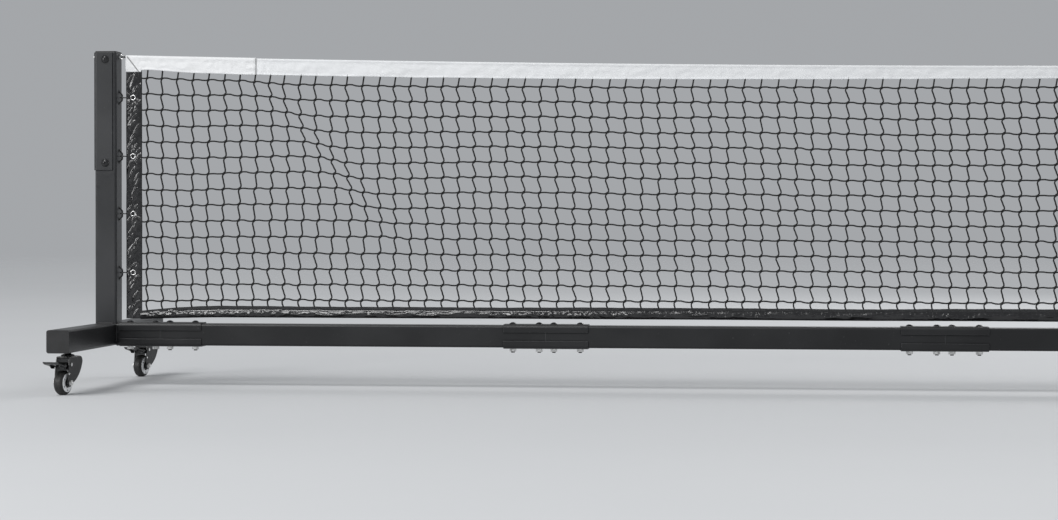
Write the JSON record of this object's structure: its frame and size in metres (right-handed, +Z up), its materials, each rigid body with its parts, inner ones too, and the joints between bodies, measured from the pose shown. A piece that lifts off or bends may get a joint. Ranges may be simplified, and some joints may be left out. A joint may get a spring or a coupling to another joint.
{
  "type": "wheeled pickleball net",
  "caption": "Portable pickleball net on a bolted black square-tube frame with posts, cross feet, braked swivel casters, and a knotted net with a white headband.",
  "frame": {"origin": "on the floor, midway between the two posts, in the plane of the net", "axes": "+X along the net towards the right post, +Y across the net away from the side that is pictured, +Z up"},
  "size_m": [6.788, 0.9218, 0.922],
  "materials": {
    "black_steel": "satin black powder coat",
    "caster_steel": "black coated pressed steel",
    "black_hardware": "black oxide",
    "zinc_hardware": "bright zinc plate",
    "black_plastic": "moulded, fine grain",
    "cable": "stranded wire",
    "white_vinyl": "coated white tape, slightly creased",
    "net_cord": "knotted black cord",
    "black_vinyl": "glossy creased black vinyl",
    "wheel_hub": "pale grey moulding",
    "tyre": "matt black rubber"
  },
  "bodies": {
    "root": {"left_foot_tube": "black_steel", "right_foot_tube": "black_steel", "left_post": "black_steel", "right_post": "black_steel", "left_post_channel": "black_steel", "right_post_channel": "black_steel", "left_beam_stub": "black_steel", "right_beam_stub": "black_steel", "beam_section_1": "black_steel", "beam_section_2": "black_steel", "beam_section_3": "black_steel", "beam_section_4": "black_steel", "beam_section_5": "black_steel", "beam_section_6": "black_steel", "splice_1": "black_steel", "splice_2": "black_steel", "splice_3": "black_steel", "splice_4": "black_steel", "splice_5": "black_steel", "splice_6": "black_steel", "splice_7": "black_steel", "splice_bolts": "black_hardware", "splice_nuts": "zinc_hardware", "post_bolts": "black_hardware", "post_nuts": "zinc_hardware", "post_caps": "black_plastic", "foot_end_caps": "black_plastic", "net_loops": "black_hardware", "eye_bolts": "zinc_hardware", "top_cable": "cable", "headband": "white_vinyl", "net_panel": "net_cord", "left_side_band": "black_vinyl", "right_side_band": "black_vinyl", "bottom_band": "black_vinyl", "net_grommets": "black_hardware", "net_hooks": "black_hardware", "caster_stems": "caster_steel"},
    "left_front_swivel": {"left_front_fork": "caster_steel", "left_front_axle_set": "zinc_hardware"},
    "left_front_wheel": {"left_front_hub": "wheel_hub", "left_front_tyre": "tyre"},
    "left_front_brake": {"left_front_brake_pedal": "caster_steel"},
    "left_rear_swivel": {"left_rear_fork": "caster_steel", "left_rear_axle_set": "zinc_hardware"},
    "left_rear_wheel": {"left_rear_hub": "wheel_hub", "left_rear_tyre": "tyre"},
    "left_rear_brake": {"left_rear_brake_pedal": "caster_steel"},
    "right_front_swivel": {"right_front_fork": "caster_steel", "right_front_axle_set": "zinc_hardware"},
    "right_front_wheel": {"right_front_hub": "wheel_hub", "right_front_tyre": "tyre"},
    "right_front_brake": {"right_front_brake_pedal": "caster_steel"},
    "right_rear_swivel": {"right_rear_fork": "caster_steel", "right_rear_axle_set": "zinc_hardware"},
    "right_rear_wheel": {"right_rear_hub": "wheel_hub", "right_rear_tyre": "tyre"},
    "right_rear_brake": {"right_rear_brake_pedal": "caster_steel"}
  },
  "joints": [
    {"name": "left_front_swivel_turn", "type": "hinge", "parent": "root", "child": "left_front_swivel", "pos_m": [-3.353, -0.372, 0.105], "axis": [0, 0, 1], "continuous": true},
    {"name": "left_front_wheel_roll", "type": "hinge", "parent": "left_front_swivel", "child": "left_front_wheel", "pos_m": [-3.3582, -0.39645, 0.03175], "axis": [-0.9781, 0.2079, 0], "continuous": true},
    {"name": "left_front_brake_press", "type": "hinge", "parent": "left_front_swivel", "child": "left_front_brake", "pos_m": [-3.35653, -0.38863, 0.079], "axis": [0.9781, -0.2079, 0], "range_deg": [0, 12]},
    {"name": "left_rear_swivel_turn", "type": "hinge", "parent": "root", "child": "left_rear_swivel", "pos_m": [-3.353, 0.372, 0.105], "axis": [0, 0, 1], "continuous": true},
    {"name": "left_rear_wheel_roll", "type": "hinge", "parent": "left_rear_swivel", "child": "left_rear_wheel", "pos_m": [-3.3582, 0.34755, 0.03175], "axis": [-0.9781, 0.2079, 0], "continuous": true},
    {"name": "left_rear_brake_press", "type": "hinge", "parent": "left_rear_swivel", "child": "left_rear_brake", "pos_m": [-3.35653, 0.35537, 0.079], "axis": [0.9781, -0.2079, 0], "range_deg": [0, 12]},
    {"name": "right_front_swivel_turn", "type": "hinge", "parent": "root", "child": "right_front_swivel", "pos_m": [3.353, -0.372, 0.105], "axis": [0, 0, 1], "continuous": true},
    {"name": "right_front_wheel_roll", "type": "hinge", "parent": "right_front_swivel", "child": "right_front_wheel", "pos_m": [3.3582, -0.39645, 0.03175], "axis": [-0.9781, -0.2079, 0], "continuous": true},
    {"name": "right_front_brake_press", "type": "hinge", "parent": "right_front_swivel", "child": "right_front_brake", "pos_m": [3.35653, -0.38863, 0.079], "axis": [0.9781, 0.2079, 0], "range_deg": [0, 12]},
    {"name": "right_rear_swivel_turn", "type": "hinge", "parent": "root", "child": "right_rear_swivel", "pos_m": [3.353, 0.372, 0.105], "axis": [0, 0, 1], "continuous": true},
    {"name": "right_rear_wheel_roll", "type": "hinge", "parent": "right_rear_swivel", "child": "right_rear_wheel", "pos_m": [3.3582, 0.34755, 0.03175], "axis": [-0.9781, -0.2079, 0], "continuous": true},
    {"name": "right_rear_brake_press", "type": "hinge", "parent": "right_rear_swivel", "child": "right_rear_brake", "pos_m": [3.35653, 0.35537, 0.079], "axis": [0.9781, 0.2079, 0], "range_deg": [0, 12]}
  ]
}
